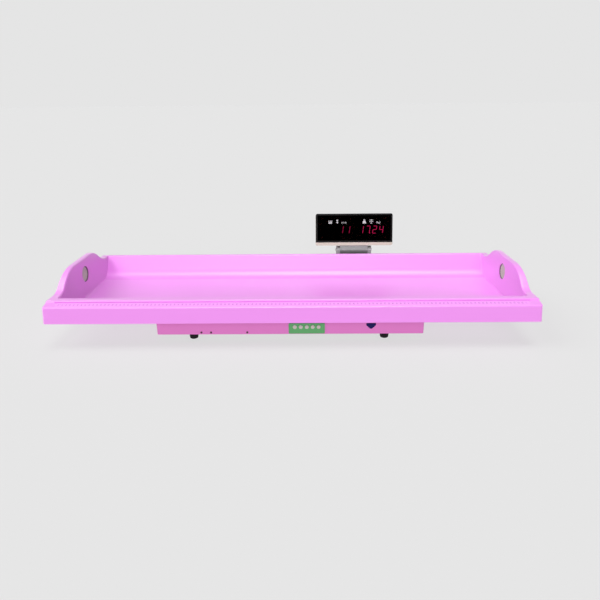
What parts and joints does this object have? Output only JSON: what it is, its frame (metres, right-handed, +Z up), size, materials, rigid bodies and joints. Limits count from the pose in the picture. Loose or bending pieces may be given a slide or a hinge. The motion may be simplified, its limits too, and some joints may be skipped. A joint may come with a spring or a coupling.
{
  "type": "infant scale with length ruler",
  "caption": "Infant weighing and measuring scale: long open tray with raised ends on a low base, front keys, and a two-line LED display on a rear column.",
  "frame": {"origin": "on the floor under the middle of the overall length and depth, level with the feet's undersides", "axes": "+Z up, +X to the right as the user faces the keys, +Y away from the user"},
  "size_m": [1.2894, 0.5248, 0.257],
  "materials": {
    "tray_plastic": "semi-gloss moulded",
    "ruler_sheet": "printed sheet with white graduations",
    "base_paint": "satin powder coat",
    "sheet_steel": "zinc-plated sheet",
    "screw_steel": "zinc-plated",
    "cell_aluminium": "machined",
    "foot_rubber": "matte",
    "board_green": "solder-masked board",
    "panel_green": "satin",
    "key_white": "satin",
    "switch_black": "matte",
    "badge_blue": "gloss, blank",
    "sensor_grey": "fine mesh",
    "sensor_metal": "spun can",
    "column_paint": "satin",
    "casting_grey": "bead blasted casting",
    "case_cream": "satin",
    "bezel_black": "gloss",
    "window_tint": "dark tinted sheet",
    "readout_red": "red segment display"
  },
  "bodies": {
    "base": {"base_housing": "base_paint", "bottom_pan": "sheet_steel", "pan_screws": "screw_steel", "chassis": "sheet_steel", "load_cell": "cell_aluminium", "fixed_spacer": "cell_aluminium", "fixed_bolts": "screw_steel", "stop_screws": "screw_steel", "stop_nuts": "screw_steel", "rubber_feet": "foot_rubber", "foot_screws": "screw_steel", "main_board": "board_green", "power_board": "board_green", "board_standoffs": "screw_steel", "board_screws": "screw_steel", "key_panel": "panel_green", "key_switches": "switch_black", "key_board": "board_green", "key_board_screws": "screw_steel", "badge": "badge_blue", "power_inlet": "switch_black", "rocker_frame": "switch_black", "column_arm": "column_paint", "arm_backing": "sheet_steel", "column": "column_paint", "arm_bolts": "screw_steel", "column_end_cap": "switch_black", "saddle_bracket": "casting_grey", "saddle_screws": "screw_steel", "pivot_screws": "screw_steel"},
    "tray": {"tray_shell": "tray_plastic", "ruler_strip": "ruler_sheet", "left_sensor_ring": "switch_black", "left_sensor_grille": "sensor_grey", "left_transducer": "sensor_metal", "right_sensor_ring": "switch_black", "right_sensor_grille": "sensor_grey", "right_transducer": "sensor_metal", "sensor_boards": "board_green", "platform": "sheet_steel", "tray_pads": "foot_rubber", "tray_screws": "screw_steel", "live_spacer": "cell_aluminium", "live_bolts": "screw_steel"},
    "display": {"tilt_block": "casting_grey", "block_screws": "screw_steel", "rear_case": "case_cream", "front_bezel": "bezel_black", "window": "window_tint", "length_readout": "readout_red", "weight_readout": "readout_red", "head_board": "board_green", "head_board_screws": "screw_steel", "case_screws": "screw_steel"},
    "rocker": {"rocker": "switch_black"},
    "key_1": {"key_1": "key_white"},
    "key_2": {"key_2": "key_white"},
    "key_3": {"key_3": "key_white"},
    "key_4": {"key_4": "key_white"},
    "key_5": {"key_5": "key_white"}
  },
  "joints": [
    {"name": "tray_deflection", "type": "slide", "parent": "base", "child": "tray", "axis": [0, 0, 1], "range_m": [-0.0005, 0], "stiffness_N_per_m": 400000, "springref_m": 0.0003, "deforming": ["load_cell"]},
    {"name": "display_tilt", "type": "hinge", "parent": "base", "child": "display", "pos_m": [0.2, 0.21131, 0.137], "axis": [1, 0, 0], "range_deg": [-15, 20]},
    {"name": "rocker_switch", "type": "hinge", "parent": "base", "child": "rocker", "pos_m": [0.084, 0.16241, 0.038], "axis": [1, 0, 0], "range_deg": [-16, 0]},
    {"name": "key_1_press", "type": "slide", "parent": "base", "child": "key_1", "axis": [0, 1, 0], "range_m": [0, 0.0008], "stiffness_N_per_m": 1000, "springref_m": -0.0004},
    {"name": "key_2_press", "type": "slide", "parent": "base", "child": "key_2", "axis": [0, 1, 0], "range_m": [0, 0.0008], "stiffness_N_per_m": 1000, "springref_m": -0.0004},
    {"name": "key_3_press", "type": "slide", "parent": "base", "child": "key_3", "axis": [0, 1, 0], "range_m": [0, 0.0008], "stiffness_N_per_m": 1000, "springref_m": -0.0004},
    {"name": "key_4_press", "type": "slide", "parent": "base", "child": "key_4", "axis": [0, 1, 0], "range_m": [0, 0.0008], "stiffness_N_per_m": 1000, "springref_m": -0.0004},
    {"name": "key_5_press", "type": "slide", "parent": "base", "child": "key_5", "axis": [0, 1, 0], "range_m": [0, 0.0008], "stiffness_N_per_m": 1000, "springref_m": -0.0004}
  ]
}
